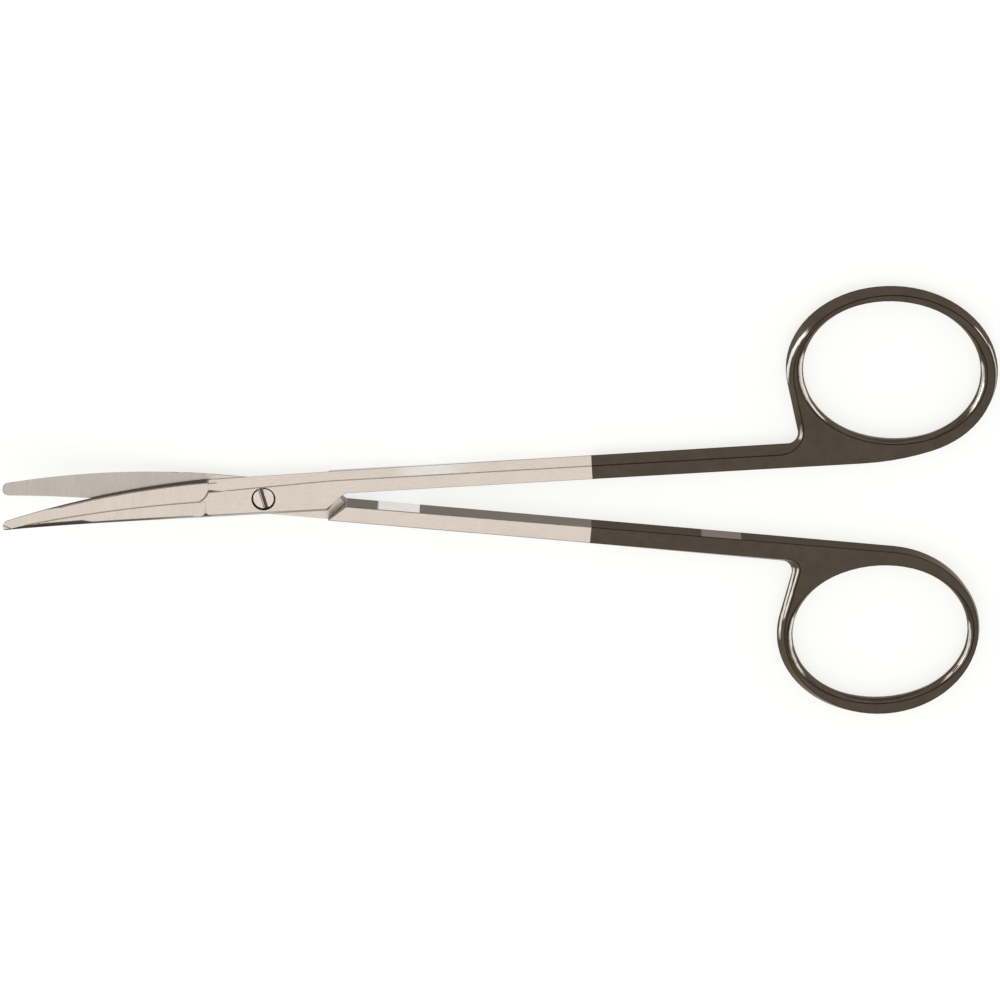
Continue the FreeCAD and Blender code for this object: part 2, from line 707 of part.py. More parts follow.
def build_screw():
    """Shoulder screw: thread in the rear half, plain part and head in the front half."""
    body = doc.addObject("PartDesign::Body", "pivot_screw")
    body.Label = "pivot_screw"
    doc.recompute()
    profile = new_sketch(body, "screw_profile", "XZ_Plane")
    head = "sizes.head_diameter / 2"
    top = "sizes.joint_thickness"
    under = "sizes.joint_thickness - sizes.head_height"
    floor = f"{HALF} - sizes.lap_clearance / 2"
    polygon(profile, (
        ("0", "0"),
        ("sizes.thread_diameter / 2", "0"),
        ("sizes.thread_diameter / 2", floor),
        ("sizes.screw_diameter / 2", floor),
        ("sizes.screw_diameter / 2", under),
        (head, under),
        (head, f"{top} - sizes.head_bevel - sizes.head_crown"),
        (f"{head} - sizes.head_bevel", f"{top} - sizes.head_crown"),
        ("0", f"{top}"),
    ))
    turned = body.newObject("PartDesign::Revolution", "turned_screw")
    turned.Profile = profile
    turned.ReferenceAxis = (profile, ["V_Axis"])
    turned.Angle = 360
    doc.recompute()
    slot = new_sketch(body, "slot_plan", "XY_Plane", "sizes.joint_thickness + sizes.slot_depth")
    slot.AttachmentOffset = FreeCAD.Placement(
        slot.AttachmentOffset.Base, FreeCAD.Rotation(V(0, 0, 1), size["slot_angle"]))
    slot.setExpression("AttachmentOffset.Rotation.Angle", "sizes.slot_angle")
    polygon(slot, (
        ("-sizes.head_diameter", "-sizes.slot_width / 2"),
        ("sizes.head_diameter", "-sizes.slot_width / 2"),
        ("sizes.head_diameter", "sizes.slot_width / 2"),
        ("-sizes.head_diameter", "sizes.slot_width / 2"),
    ))
    face_cut(body, "driver_slot", slot, "2 * sizes.slot_depth")
    return body


front = build_half("front", "front_half", 1)
bore_front(front)
rear = build_half("rear", "rear_half", -1)
bore_rear(rear)
screw = build_screw()

half_open = size["open_angle"] / 2
level = V(0, 0, size["joint_thickness"] / 2)
front.Placement = FreeCAD.Placement(level, FreeCAD.Rotation(V(0, 0, 1), half_open))
turned_over = FreeCAD.Rotation(V(0, 0, 1), -half_open) * FreeCAD.Rotation(V(1, 0, 0), 180)
rear.Placement = FreeCAD.Placement(level, turned_over)
doc.recompute()

for item in doc.Objects:
    if "Invalid" in item.State or "Error" in item.State:
        raise RuntimeError(f"{item.Label} failed: {item.State}")
os.makedirs("parts", exist_ok=True)
for part in (front, rear, screw):
    shape = part.Shape
    if shape.isNull() or not shape.isValid() or len(shape.Solids) != 1:
        raise RuntimeError(f"{part.Label} is not one valid solid")
    shape.exportStep(f"parts/{part.Label}.step")
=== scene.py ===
"""Curved surgical scissors.

Eases the solids' ground edges, finishes them in satin steel with a dark coat on the handles, and
sets up a plain studio with a camera like the picture's.
"""

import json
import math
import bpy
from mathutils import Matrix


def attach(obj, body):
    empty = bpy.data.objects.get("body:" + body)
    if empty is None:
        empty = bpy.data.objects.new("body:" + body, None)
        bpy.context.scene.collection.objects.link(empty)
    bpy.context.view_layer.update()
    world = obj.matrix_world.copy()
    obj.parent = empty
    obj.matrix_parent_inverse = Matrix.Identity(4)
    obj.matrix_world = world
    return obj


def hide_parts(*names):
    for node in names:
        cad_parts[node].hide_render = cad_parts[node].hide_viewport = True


bl_info = {
    "name": "Curved surgical scissors",
    "version": (1, 0, 0),
    "blender": (4, 5, 0),
    "location": "View3D > Sidebar > Scissors",
    "description": "Finishes a pair of curved surgical scissors and sets up a plain studio for them",
    "category": "Object",
}

import bmesh
import bpy
from bpy.props import FloatProperty, FloatVectorProperty, PointerProperty
from mathutils import Matrix, Vector

MM = 0.001

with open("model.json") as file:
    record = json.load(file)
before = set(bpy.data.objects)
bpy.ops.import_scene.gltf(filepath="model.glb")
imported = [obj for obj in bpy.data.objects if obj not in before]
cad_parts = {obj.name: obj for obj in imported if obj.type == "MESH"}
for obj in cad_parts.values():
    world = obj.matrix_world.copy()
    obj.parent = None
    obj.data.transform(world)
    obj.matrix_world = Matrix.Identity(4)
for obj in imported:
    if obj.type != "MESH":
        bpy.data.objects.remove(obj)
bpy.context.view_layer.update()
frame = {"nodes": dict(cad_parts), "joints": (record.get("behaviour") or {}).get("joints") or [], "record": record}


# --- what a user would change -------------------------------------------------------------------


class EdgeSettings(bpy.types.PropertyGroup):
    width: FloatProperty(
        name="Edge width",
        description="How far each ground edge is eased",
        default=0.11 * MM,
        min=0.0,
        subtype="DISTANCE",
        unit="LENGTH",
    )
    angle: FloatProperty(
        name="Edge angle",
        description="Edges sharper than this are eased",
        default=math.radians(16.0),
        subtype="ANGLE",
        unit="ROTATION",
    )


class SteelSettings(bpy.types.PropertyGroup):
    satin: FloatVectorProperty(
        name="Satin steel",
        description="Colour of the satin faces",
        default=(0.775, 0.69, 0.61),
        min=0.0,
        max=1.0,
        subtype="COLOR",
    )
    ground: FloatVectorProperty(
        name="Ground steel",
        description="Colour of the blades' ground inner faces",
        default=(0.585, 0.53, 0.482),
        min=0.0,
        max=1.0,
        subtype="COLOR",
    )
    # Painted dark reflection: the polished upright walls, bevels and scoop are painted dark for the dark they
    # mirror.
    polished_painted_dark: FloatVectorProperty(
        name="Polished walls",
        description="Colour of the polished upright walls, bevels and scoop",
        default=(0.112, 0.084, 0.058),
        min=0.0,
        max=1.0,
        subtype="COLOR",
    )
    shaded: FloatVectorProperty(
        name="Shaded polish",
        description="Colour of the blade backs, cutting bevels and notch, which mirror the dark",
        default=(0.085, 0.068, 0.054),
        min=0.0,
        max=1.0,
        subtype="COLOR",
    )
    # Painted reflection: bright patches painted on the rear half's inner wall and on the front half's strip.
    mirror: FloatVectorProperty(
        name="Mirror polish",
        description="Colour of the places on the inner walls that are polished bright",
        default=(0.90, 0.88, 0.86),
        min=0.0,
        max=1.0,
        subtype="COLOR",
    )
    # Painted dark reflection: the eased edges between the steel's faces are painted dark for the dark they mirror.
    edge: FloatVectorProperty(
        name="Steel edges",
        description="Colour of the polished edges between the steel's faces",
        default=(0.26, 0.225, 0.185),
        min=0.0,
        max=1.0,
        subtype="COLOR",
    )
    roughness: FloatProperty(
        name="Satin roughness",
        description="Roughness of the satin faces",
        default=0.34,
        min=0.0,
        max=1.0,
        subtype="FACTOR",
    )
    grain: FloatProperty(
        name="Grain",
        description="Width of one scratch of the satin grain",
        default=0.09 * MM,
        min=0.0,
        subtype="DISTANCE",
        unit="LENGTH",
    )


class CoatSettings(bpy.types.PropertyGroup):
    colour: FloatVectorProperty(
        name="Coat",
        description="Colour of the dark coat on the handles and rings",
        default=(0.080, 0.064, 0.046),
        min=0.0,
        max=1.0,
        subtype="COLOR",
    )
    # Painted highlight: the bright streaks painted along the rings' bevels for reflected light.
    painted_highlight: FloatVectorProperty(
        name="Rubbed coat",
        description="Colour of the bright places where fingers have rubbed the rings",
        default=(0.80, 0.76, 0.71),
        min=0.0,
        max=1.0,
        subtype="COLOR",
    )
    shaded: FloatVectorProperty(
        name="Shaded coat",
        description="Colour of the coat on upright walls, which mirror the dark",
        default=(0.020, 0.014, 0.009),
        min=0.0,
        max=1.0,
        subtype="COLOR",
    )
    # Painted reflection: a light sheen painted on the rear half's coated inner wall.
    wear_and_sheen: FloatVectorProperty(
        name="Worn coat",
        description="Colour of the place on the inner wall where the coat is worn thin",
        default=(0.20, 0.165, 0.15),
        min=0.0,
        max=1.0,
        subtype="COLOR",
    )
    # Painted dark reflection: the coat's eased edges are painted darker than the coat for the dark they mirror.
    edge: FloatVectorProperty(
        name="Coat edges",
        description="Colour of the eased edges between the coat's faces",
        default=(0.022, 0.016, 0.011),
        min=0.0,
        max=1.0,
        subtype="COLOR",
    )
    start: FloatProperty(
        name="Coat start",
        description="Distance from the pivot at which the coat starts, along each handle",
        default=50.6 * MM,
        subtype="DISTANCE",
        unit="LENGTH",
    )
    roughness: FloatProperty(
        name="Coat roughness",
        description="Roughness of the coat",
        default=0.22,
        min=0.0,
        max=1.0,
        subtype="FACTOR",
    )


class StudioSettings(bpy.types.PropertyGroup):
    target: FloatVectorProperty(
        name="Camera target",
        description="Point in the middle of the picture",
        default=(36.32 * MM, 0.475 * MM, 4.16 * MM),
        subtype="TRANSLATION",
        unit="LENGTH",
    )
    distance: FloatProperty(
        name="Camera distance",
        description="Camera to its target",
        default=0.9,
        subtype="DISTANCE",
        unit="LENGTH",
    )
    tilt: FloatProperty(
        name="Camera tilt",
        description="How far the camera leans from straight above towards the upper ring",
        default=math.radians(21.0),
        subtype="ANGLE",
        unit="ROTATION",
    )
    roll: FloatProperty(
        name="Camera roll",
        description="How far the object is turned clockwise in the picture",
        default=math.radians(0.86),
        subtype="ANGLE",
        unit="ROTATION",
    )
    view_width: FloatProperty(
        name="View width",
        description="Width of the picture at the object",
        default=153.5 * MM,
        subtype="DISTANCE",
        unit="LENGTH",
    )
    floor: FloatVectorProperty(
        name="Floor",
        description="Colour of the floor and the surroundings",
        default=(0.99, 0.99, 0.975),
        min=0.0,
        max=1.0,
        subtype="COLOR",
    )


class ScissorsSettings(bpy.types.PropertyGroup):
    edges: PointerProperty(type=EdgeSettings)
    steel: PointerProperty(type=SteelSettings)
    coat: PointerProperty(type=CoatSettings)
    studio: PointerProperty(type=StudioSettings)


# --- materials ----------------------------------------------------------------------------------


# A pair is a ramp: its mask is 0 at the first value and 1 at the second. Two pairs are a stretch
# between two ramps. Places are in mm from the pivot along the half.
BLADE_START = (-7.6, -9.4)
CUTTING_START = (-8.2, -8.6)
BACK_END = (9.9, 9.4)
# Painted reflections: where bright patches are painted on the rear half's inner wall and on the front half's
# strip.
PAINTED_REFLECTION_WALL = ((17.5, 17.8), (24.1, 24.0))
PAINTED_REFLECTION_STRIP = ((20.0, 23.0), (33.0, 28.0))
# Painted sheen: where a light reflection is painted on the rear half's coated inner wall.
PAINTED_SHEEN_WALL = ((67.5, 67.8), (73.9, 73.7))

# Ramps over one part of the surface's direction, which has length 1.
INNER_SIDE = (0.3, 0.5)
OUTER_SIDE = (0.3, 0.1)
BACK_LEAN = (0.34, 0.46)
CUTTING_LEAN = (0.72, 0.78)
STRIP_LEAN = (0.75, 0.85)
STEEL_WALL = (0.34, 0.26)
COAT_WALL = (0.17, 0.10)
SCREW_WALL = (0.5, 0.3)

# Painted shade: a dark wedge painted over the notch where the blade's cutting side meets the
# joint, in mm.
NOTCH_MIDDLE = -8.8
NOTCH_SLOPE = 0.9
NOTCH_EDGE = (1.90, 1.98)
NOTCH_REACH = (1.0, 0.9)

# The screw's slot, which is painted as shade with a lighter stretch of painted reflection, in mm: its
# depth below the head's top, the direction across it, and the lighter stretch of its floor.
SLOT_DEPTH = (0.10, 0.16)
SLOT_ACROSS = (0.95, 0.30)
SLOT_LIGHT = ((0.04, 0.12), (0.28, 0.22))

# Textures: where nearly all of their values lie, how the grain is drawn out, and the places where
# clouds, specks and worn edges begin and are full.
WHOLE = (0.0, 1.0)
NOISE = (0.3, 0.7)
GRAIN = (0.2, 0.8)
BRUSHED_ALONG = (0.08, 1, 1)
BRUSHED_ACROSS = (1, 0.05, 0.05)
CLOUDS = (0.35, 0.65)
SPECKS = (0.74, 0.80)
WORN_EDGES = (0.35, 0.7)

# Shares of a look where it is full, and how many times lighter a lighter colour is.
LINE_SHARE = 0.55
STRIP_SHARE = 0.75
SPECK_SHARE = 0.25
LIGHTER_COAT = 1.18
LIGHTER_EDGE = 1.5

# Roughness: how far the textures change it, how far it is changed on the ground and polished
# faces, and its range on the eased edges and the screw.
SATIN_CHANGE = (-0.05, 0.06)
COAT_CHANGE = (-0.03, 0.05)
GROUND_ROUGHER = 0.08
POLISH_SMOOTHER = 0.16
EDGE_ROUGHNESS = (0.18, 0.26)
SCREW_ROUGHNESS = (0.22, 0.30)

# The colours of the coat's specks and of its reflections at a slant.
SPECK_COLOUR = (0.16, 0.13, 0.10)
COAT_TINT = (0.80, 0.74, 0.68, 1.0)

# Painted highlights: bright streaks painted along the rings' bevels for reflected light. First the
# opening's middle in mm. Then each streak: the end of the ring that it is at, on the outer (1) or
# inner (-1) bevel, from and to in degrees around the opening's middle from that end, its height in mm
# at both, and half its width in mm.
RINGS = {
    "front_half": (
        (97.2, 14.7),
        (
            ("left", 1, -30.0, 2.0, 3.30, 2.35, 0.26),
            ("left", -1, -15.0, 18.0, 3.05, 3.05, 0.36),
            ("left", -1, 9.0, 33.0, 3.05, 3.20, 0.20),
            ("left", 1, 31.0, 41.0, 3.00, 3.00, 0.45),
            ("right", -1, -31.0, 3.0, 2.95, 2.80, 0.26),
            ("right", 1, -15.0, 14.0, 2.85, 2.95, 0.15),
            ("right", 1, 14.0, 27.0, 3.15, 3.20, 0.11),
        ),
    ),
    "rear_half": (
        (96.9, -14.0),
        (
            ("left", 1, -42.0, -5.0, 3.15, 3.05, 0.20),
            ("left", 1, -35.0, 7.0, 2.40, 2.65, 0.22),
            ("left", -1, -8.0, 16.0, 3.00, 3.00, 0.32),
            ("left", -1, 8.0, 34.0, 3.00, 3.20, 0.19),
            ("right", -1, -32.0, 13.0, 3.00, 2.80, 0.24),
            ("right", 1, 23.0, 38.0, 3.05, 3.15, 0.12),
        ),
    ),
}
RING_REACH = (19.0, 18.3)

# The streaks' bevels by how far they lean aside and up, the full part of a streak's width, how far
# its ends fade out and in, in degrees, and how ragged it is, in degrees and mm.
STREAK_LEAN = (0.38, 0.50)
STREAK_RAISED = (0.10, 0.18)
STREAK_CORE = 0.6
FADE_OUTSIDE = 2.0
FADE_INSIDE = 3.0
RAGGED_STRETCH = 0.03
RAGGED_ANGLE = (-3.0, 3.0)
RAGGED_HEIGHT = (-0.06, 0.06)


class Finish:
    """A material's nodes, laid down one after another."""

    COLUMN_WIDTH = 180

    def __init__(self, name):
        self.material = bpy.data.materials.new(name)
        self.material.use_nodes = True
        self.tree = self.material.node_tree
        self.tree.nodes.clear()
        self.column = 0

    def node(self, kind, inputs=None, **settings):
        """A new node with its settings, and with its inputs linked or set."""
        made = self.tree.nodes.new(kind)
        made.location = (self.column * self.COLUMN_WIDTH, 0)
        self.column += 1
        for key, value in settings.items():
            setattr(made, key, value)
        for key, value in (inputs or {}).items():
            self.feed(made.inputs[key], value)
        return made

    def feed(self, socket, value):
        if isinstance(value, bpy.types.NodeSocket):
            self.tree.links.new(value, socket)
        else:
            socket.default_value = value

    def place(self, turn):
        """Object coordinates in millimetres, turned so that X runs along the half."""
        coords = self.node("ShaderNodeTexCoord")
        mapping = self.node("ShaderNodeMapping", {"Vector": coords.outputs["Object"]})
        mapping.inputs["Scale"].default_value = (1 / MM, 1 / MM, 1 / MM)
        mapping.inputs["Rotation"].default_value = (0, 0, -turn)
        return mapping.outputs["Vector"]

    def facing(self, turn):
        """The parts of the surface's own direction, turned in the same way."""
        coords = self.node("ShaderNodeTexCoord")
        normal = {"Vector": coords.outputs["Normal"]}
        mapping = self.node("ShaderNodeMapping", normal, vector_type="NORMAL")
        mapping.inputs["Rotation"].default_value = (0, 0, -turn)
        return self.parts(mapping.outputs["Vector"])

    def parts(self, vector):
        return self.node("ShaderNodeSeparateXYZ", {"Vector": vector}).outputs

    def stretched(self, vector, scale):
        mapping = self.node("ShaderNodeMapping", {"Vector": vector})
        mapping.inputs["Scale"].default_value = scale
        return mapping.outputs["Vector"]

    def noise(self, vector, scale, detail, roughness):
        made = self.node(
            "ShaderNodeTexNoise",
            {"Vector": vector, "Scale": scale, "Detail": detail, "Roughness": roughness},
            noise_dimensions="3D",
        )
        return made.outputs["Fac"]

    def math(self, operation, first, second=0.0):
        return self.node("ShaderNodeMath", {0: first, 1: second}, operation=operation).outputs[0]

    def times(self, first, second):
        return self.math("MULTIPLY", first, second)

    def plus(self, first, second):
        return self.math("ADD", first, second)

    def ramp(self, value, ends, levels=(0.0, 1.0)):
        """The first level where the value is at the first end, the second at the second end."""
        made = self.node("ShaderNodeMapRange", {"Value": value})
        for key, number in zip(("From Min", "From Max", "To Min", "To Max"), (*ends, *levels)):
            made.inputs[key].default_value = number
        made.clamp = True
        return made.outputs["Result"]

    def stretch(self, value, start, end):
        """1 between the ramp at the start and the ramp at the end."""
        return self.times(self.ramp(value, start), self.ramp(value, end))

    def blend(self, share, first, second, kind="MIX"):
        """Two colours mixed by a share."""
        made = self.node("ShaderNodeMix", data_type="RGBA", blend_type=kind, clamp_result=True)
        self.feed(made.inputs[0], share)
        self.feed(made.inputs[6], with_alpha(first))
        self.feed(made.inputs[7], with_alpha(second))
        return made.outputs[2]

    def mottle(self, base, pattern, ends, darkest, share):
        """A colour darkened by a share of the pattern, most at the pattern's first end."""
        return self.blend(share, base, self.ramp(pattern, ends, (darkest, 1.0)), "MULTIPLY")

    def bump(self, height, depth, strength):
        bump = {"Height": height, "Distance": depth, "Strength": strength}
        return self.node("ShaderNodeBump", bump).outputs["Normal"]

    def metal(self, inputs):
        """The finished material, a metal with these inputs."""
        shader = self.node("ShaderNodeBsdfPrincipled", {"Metallic": 1.0, **inputs})
        self.node("ShaderNodeOutputMaterial", {"Surface": shader.outputs["BSDF"]})
        return self.material


def with_alpha(value):
    """A colour with its alpha; the output of a node stays as it is."""
    return value if isinstance(value, bpy.types.NodeSocket) else (*value, 1.0)


def notch_shade_mask(finish, along, across, outer_side):
    """The wedge of painted shade over the notch, on the blade's outer side only."""
    aside = finish.math("ABSOLUTE", finish.plus(along, -NOTCH_MIDDLE))
    depth = finish.math("SUBTRACT", across, finish.times(aside, NOTCH_SLOPE))
    wedge = finish.times(finish.ramp(depth, NOTCH_EDGE), finish.ramp(aside, NOTCH_REACH))
    return finish.times(wedge, outer_side)


def satin_steel(settings, name, turn, inner_up):
    """Bare steel: satin faces, ground inner blade faces, and polished walls, bevels and scoop painted dark
    for the dark they mirror, with painted shade and painted bright reflections.
    """
    steel = settings.steel
    finish = Finish(name)
    place = finish.place(turn)
    facing = finish.facing(turn)
    way = 1.0 if inner_up else -1.0
    parts = finish.parts(place)
    along = parts["X"]
    across = finish.times(parts["Y"], way)
    inwards = finish.times(facing["Z"], way)
    backwards = finish.times(facing["Y"], way)

    on_blade = finish.ramp(along, BLADE_START)
    ground = finish.times(on_blade, finish.ramp(inwards, INNER_SIDE))
    upright = finish.ramp(finish.math("ABSOLUTE", facing["Z"]), STEEL_WALL)
    # Painted shade: the blade backs, cutting bevels and notch are painted dark.
    back = finish.times(finish.ramp(backwards, BACK_LEAN), finish.ramp(along, BACK_END))
    bevel = finish.ramp(finish.times(backwards, -1.0), CUTTING_LEAN)
    cutting = finish.times(bevel, finish.ramp(along, CUTTING_START))
    notch = notch_shade_mask(finish, along, across, finish.ramp(inwards, OUTER_SIDE))
    shaded = finish.math("MAXIMUM", finish.math("MAXIMUM", back, cutting), notch)
    # Painted reflection: a bright patch on the rear half's inner wall, and one on the front half's strip.
    if inner_up:
        bright = finish.times(finish.stretch(along, *PAINTED_REFLECTION_WALL), upright)
    else:
        strip = finish.ramp(facing["Y"], STRIP_LEAN, (0.0, STRIP_SHARE))
        bright = finish.times(finish.stretch(along, *PAINTED_REFLECTION_STRIP), strip)

    fine = MM / steel.grain
    coarse = fine / 2
    drawn_along = finish.stretched(place, BRUSHED_ALONG)
    drawn_across = finish.stretched(place, BRUSHED_ACROSS)
    brushed = finish.noise(drawn_along, scale=fine, detail=3.0, roughness=0.65)
    crossed = finish.noise(drawn_across, scale=coarse, detail=4.0, roughness=0.7)
    blasted = finish.noise(place, scale=coarse, detail=3.0, roughness=0.7)
    clouds = finish.noise(place, scale=0.35, detail=3.0, roughness=0.6)
    off_blade = finish.math("SUBTRACT", 1.0, on_blade)
    lines = finish.plus(
        finish.times(finish.ramp(brushed, NOISE), off_blade),
        finish.times(finish.ramp(crossed, NOISE), on_blade),
    )
    pits = finish.ramp(blasted, NOISE)
    texture = finish.plus(
        finish.times(lines, LINE_SHARE),
        finish.times(pits, 1.0 - LINE_SHARE),
    )

    base = finish.blend(ground, steel.satin, steel.ground)
    # Painted dark reflection on the polished upright walls, bevels and scoop.
    base = finish.blend(upright, base, steel.polished_painted_dark)
    # Painted shade on the blade backs, cutting bevels and notch.
    base = finish.blend(shaded, base, steel.shaded)
    # Painted bright reflection on the rear half's inner wall and the front half's strip.
    base = finish.blend(bright, base, steel.mirror)
    base = finish.mottle(base, texture, GRAIN, darkest=0.74, share=0.6)
    base = finish.mottle(base, clouds, NOISE, darkest=0.88, share=0.35)

    rough = finish.plus(steel.roughness, finish.ramp(texture, WHOLE, SATIN_CHANGE))
    rough = finish.plus(rough, finish.times(ground, GROUND_ROUGHER))
    polish = finish.math("MAXIMUM", upright, shaded)
    rough = finish.math("SUBTRACT", rough, finish.times(polish, POLISH_SMOOTHER))
    normal = finish.bump(texture, depth=0.005 * MM, strength=0.45)
    return finish.metal({"Base Color": base, "Roughness": rough, "Normal": normal})


def painted_ring_highlights(finish, node, place, facing):
    """Painted highlights: bright streaks along the bevels of the ring, as a share of 1."""
    middle, streaks = RINGS[node]
    from_middle = finish.node(
        "ShaderNodeVectorMath", {0: place, 1: (*middle, 0.0)}, operation="SUBTRACT"
    ).outputs[0]
    length = finish.node("ShaderNodeVectorMath", {0: from_middle}, operation="LENGTH")
    radius = length.outputs["Value"]
    parts = finish.parts(from_middle)
    slope = finish.plus(
        finish.times(facing["X"], parts["X"]), finish.times(facing["Y"], parts["Y"])
    )
    outward = finish.math("DIVIDE", slope, radius)
    raised = finish.ramp(facing["Z"], STREAK_RAISED)
    height = finish.parts(place)["Z"]
    angles = {}
    for end, sign in (("right", 1.0), ("left", -1.0)):
        around = finish.math(
            "ARCTAN2", finish.times(parts["Y"], sign), finish.times(parts["X"], sign)
        )
        angles[end] = finish.times(around, math.degrees(1.0))

    total = 0.0
    for end, side, low, high, low_height, high_height, half_width in streaks:
        angle = angles[end]
        run = finish.node(
            "ShaderNodeCombineXYZ", {"X": finish.times(angle, RAGGED_STRETCH), "Y": height}
        )
        ragged = finish.noise(run.outputs[0], scale=5.0, detail=3.0, roughness=0.6)
        reach = finish.plus(angle, finish.ramp(ragged, NOISE, RAGGED_ANGLE))
        fades = finish.stretch(
            reach,
            (low - FADE_OUTSIDE, low + FADE_INSIDE),
            (high + FADE_OUTSIDE, high - FADE_INSIDE),
        )
        line = finish.ramp(angle, (low, high), (low_height, high_height))
        line = finish.plus(line, finish.ramp(ragged, NOISE, RAGGED_HEIGHT))
        off_line = finish.math("ABSOLUTE", finish.math("SUBTRACT", height, line))
        stripe = finish.ramp(off_line, (half_width, half_width * STREAK_CORE))
        bevel = finish.ramp(finish.times(outward, float(side)), STREAK_LEAN)
        share = finish.times(finish.times(fades, stripe), finish.times(bevel, raised))
        total = finish.math("MAXIMUM", total, share)
    return finish.times(total, finish.ramp(radius, RING_REACH))


def dark_coat(settings, name, node, turn):
    """The satin dark coat, with fine specks, a slight brown cloud and painted highlights along the rings' bevels.
    """
    coat = settings.coat
    finish = Finish(name)
    place = finish.place(turn)
    facing = finish.facing(turn)
    along = finish.parts(place)["X"]
    painted_highlight = painted_ring_highlights(finish, node, place, facing)
    upright = finish.ramp(finish.math("ABSOLUTE", facing["Z"]), COAT_WALL)
    fine = finish.noise(place, scale=9.0, detail=3.0, roughness=0.7)
    clouds = finish.noise(place, scale=0.5, detail=3.0, roughness=0.6)
    specks = finish.ramp(finish.noise(place, scale=2.6, detail=2.0, roughness=0.8), SPECKS)

    lighter = [part * LIGHTER_COAT for part in coat.colour]
    base = finish.blend(finish.ramp(clouds, CLOUDS), coat.colour, lighter)
    base = finish.blend(upright, base, coat.shaded)
    # Painted reflection: a light sheen on the rear half's coated inner wall.
    if node == "rear_half":
        wear_and_sheen = finish.times(finish.stretch(along, *PAINTED_SHEEN_WALL), upright)
        base = finish.blend(wear_and_sheen, base, coat.wear_and_sheen)
    base = finish.mottle(base, fine, NOISE, darkest=0.65, share=0.4)
    base = finish.blend(finish.times(specks, SPECK_SHARE), base, SPECK_COLOUR)
    base = finish.blend(painted_highlight, base, coat.painted_highlight)
    rough = finish.plus(coat.roughness, finish.ramp(fine, NOISE, COAT_CHANGE))
    normal = finish.bump(fine, depth=0.003 * MM, strength=0.3)
    return finish.metal(
        {"Base Color": base, "Roughness": rough, "Specular Tint": COAT_TINT, "Normal": normal}
    )


def edge_polish(name, base):
    """The narrow eased edges, lighter where they are worn."""
    finish = Finish(name)
    wear_and_sheen = finish.noise(finish.place(0.0), scale=1.6, detail=3.0, roughness=0.6)
    lighter = [min(1.0, part * LIGHTER_EDGE) for part in base]
    tone = finish.blend(finish.ramp(wear_and_sheen, WORN_EDGES), base, lighter)
    rough = finish.ramp(wear_and_sheen, NOISE, EDGE_ROUGHNESS)
    return finish.metal({"Base Color": tone, "Roughness": rough})


def screw_steel(settings, top):
    """The screw: turned rings on the head, walls painted dark for the dark they mirror, and a slot below
    its top with painted shade and a lighter stretch of painted reflection.
    """
    steel = settings.steel
    finish = Finish("screw_steel")
    place = finish.place(0.0)
    wave = finish.node(
        "ShaderNodeTexWave",
        {"Vector": place, "Scale": 2.2, "Distortion": 0.6, "Detail": 2.0},
        wave_type="RINGS",
        rings_direction="Z",
        wave_profile="SIN",
    )
    rings = wave.outputs["Fac"]
    grain = finish.noise(place, scale=8.0, detail=3.0, roughness=0.7)
    wall = finish.ramp(finish.facing(0.0)["Z"], SCREW_WALL)
    parts = finish.parts(place)
    slot_painted_shade = finish.ramp(parts["Z"], [top / MM - depth for depth in SLOT_DEPTH])
    sideways = finish.plus(
        finish.times(parts["X"], SLOT_ACROSS[0]), finish.times(parts["Y"], SLOT_ACROSS[1])
    )
    # Painted shade on the slot's floor, with a lighter stretch of painted reflection.
    floor = finish.blend(finish.stretch(sideways, *SLOT_LIGHT), steel.shaded, steel.polished_painted_dark)

    # Painted dark reflection on the screw's walls, and the painted slot floor below the top.
    base = finish.blend(wall, steel.satin, steel.polished_painted_dark)
    base = finish.blend(slot_painted_shade, base, floor)
    base = finish.mottle(base, rings, WHOLE, darkest=0.8, share=0.25)
    base = finish.mottle(base, grain, NOISE, darkest=0.8, share=0.25)
    rough = finish.ramp(grain, NOISE, SCREW_ROUGHNESS)
    normal = finish.bump(rings, depth=0.004 * MM, strength=0.4)
    return finish.metal({"Base Color": base, "Roughness": rough, "Normal": normal})


# --- pieces -------------------------------------------------------------------------------------


MERGE_WITHIN = 0.02 * MM
FLAT_WITHIN = math.radians(0.05)
SMOOTH_WITHIN = math.radians(20.0)
EASING_SEGMENTS = 2
LARGE_FACE_WEIGHT = 90

# The scoop near the front tip, in mm along the half. Its upper edge is drawn in by the widening,
# which grows and ends over the two ramps. The edge lies between the scoop's face and the facet,
# which are known by how far they lean across the half and up.
SCOOP = (-38.4, -26.4)
SCOOP_RAMPS = ((-39.0, -36.5), (-26.2, -27.8))
SCOOP_WIDENING = 0.36 * MM
SCOOP_OUT = -0.7
SCOOP_UP = (0.3, 0.65)
FACET_OUT = (-0.2, 0.2)
FACET_UP = 0.85

# Places in mm along and across the half. The blade ridge's run-out is eased although its faces are
# narrow. The seam between blade and joint and the screw's seat stay sharp.
RUN_OUT_ALONG = (-11.4, -9.5)
RUN_OUT_ACROSS = (-0.1, 0.4)
RUN_OUT_HEIGHT = 3.9
SEAM_ALONG = (-9.8, -7.7)
SEAM_ACROSS = -0.3
SEAM_LEVEL = 0.8
SEAT_RADIUS = 2.1


def within(value, ends):
    return ends[0] < value < ends[1]


def directions(turn):
    """Along a half and across it, in the plane of the scissors."""
    along = Vector((math.cos(turn), math.sin(turn), 0.0))
    return along, Vector((-along.y, along.x, 0.0))


def thickness(face):
    return face.calc_area() / max(edge.calc_length() for edge in face.edges)


